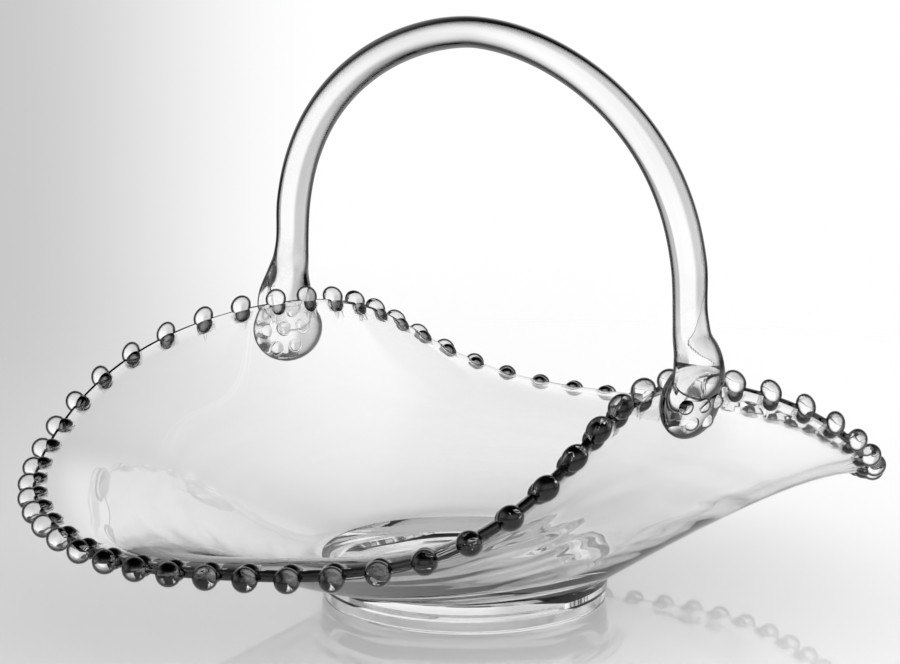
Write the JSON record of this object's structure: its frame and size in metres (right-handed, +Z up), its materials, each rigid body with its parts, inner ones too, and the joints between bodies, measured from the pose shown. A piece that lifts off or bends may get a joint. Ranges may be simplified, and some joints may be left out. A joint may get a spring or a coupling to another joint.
{
  "type": "glass basket",
  "caption": "Handled basket of clear pressed glass: a wide folded bowl with a beaded edge, on a low round foot, under an arched rod handle.",
  "frame": {"origin": "centre of the foot's underside", "axes": "+Z up, X along the basket from one low flared end to the other, Y from one end of the handle to the other"},
  "size_m": [0.2925, 0.2332, 0.1946],
  "materials": {
    "glass": "clear, fire-polished"
  },
  "bodies": {
    "root": {"glass_basket": "glass"}
  },
  "joints": []
}
